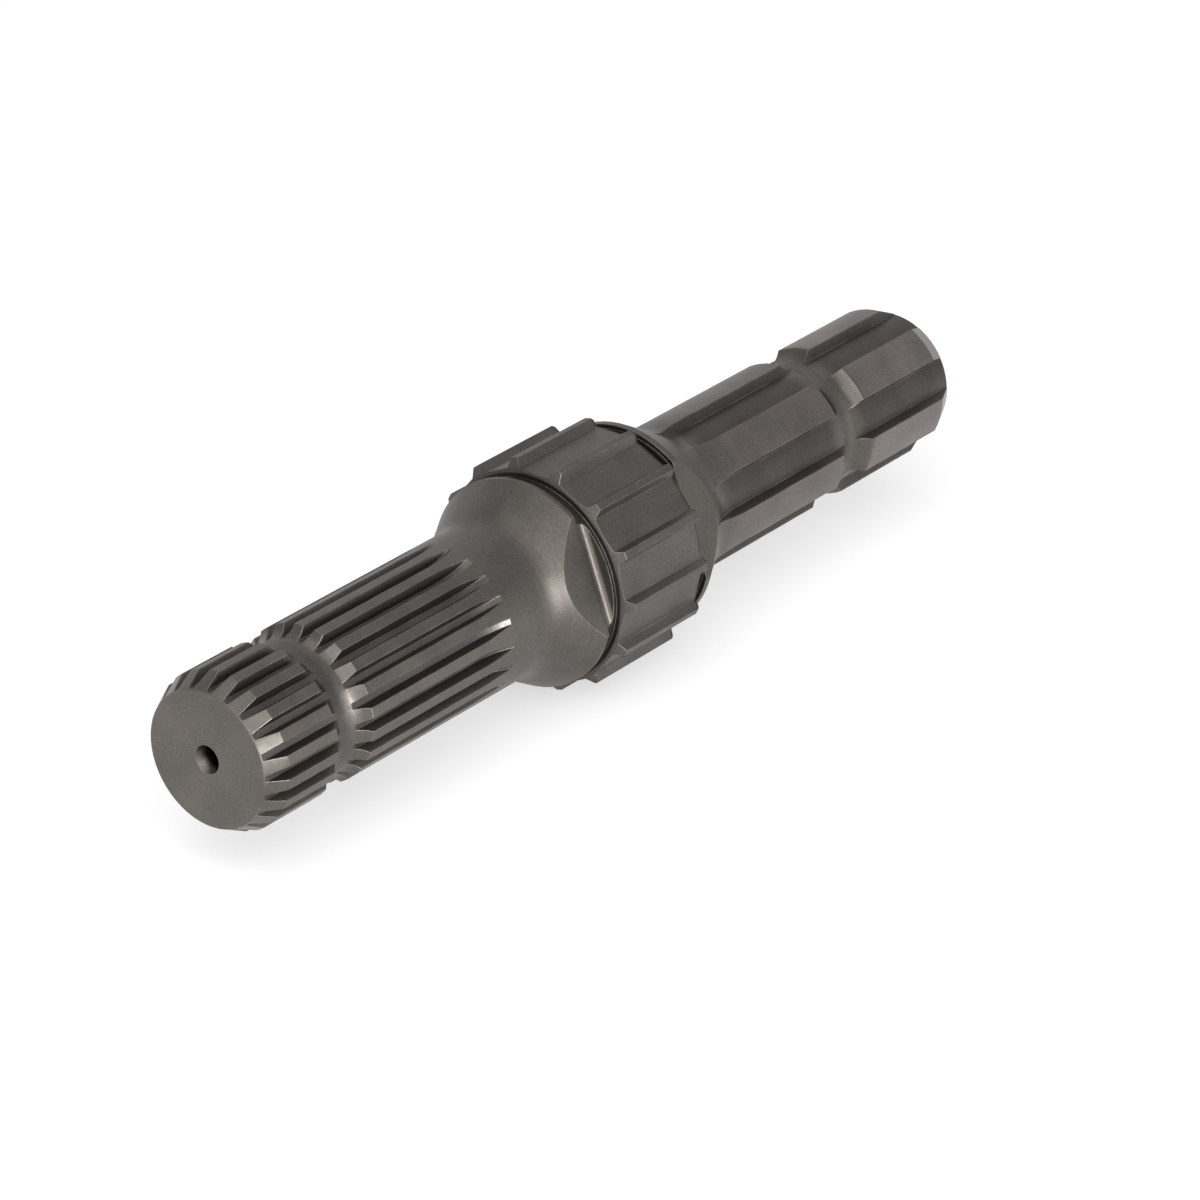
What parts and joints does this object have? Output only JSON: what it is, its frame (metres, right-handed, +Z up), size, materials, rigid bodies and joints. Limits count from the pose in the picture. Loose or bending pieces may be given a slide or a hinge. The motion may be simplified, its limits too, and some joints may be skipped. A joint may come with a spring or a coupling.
{
  "type": "splined shaft",
  "caption": "Reversible power take-off shaft with a fine involute spline on one end, a coarse straight-sided spline on the other, and a toothed collar between coned flanges.",
  "frame": {"origin": "centre of the 21-tooth end face, on the shaft's axis", "axes": "+X along the shaft from the 21-tooth end to the 6-tooth end, +Z up with the shaft lying level on two teeth of its collar"},
  "size_m": [0.2376, 0.0528, 0.0518],
  "materials": {
    "steel": "satin"
  },
  "bodies": {
    "root": {"splined_shaft": "steel"}
  },
  "joints": []
}
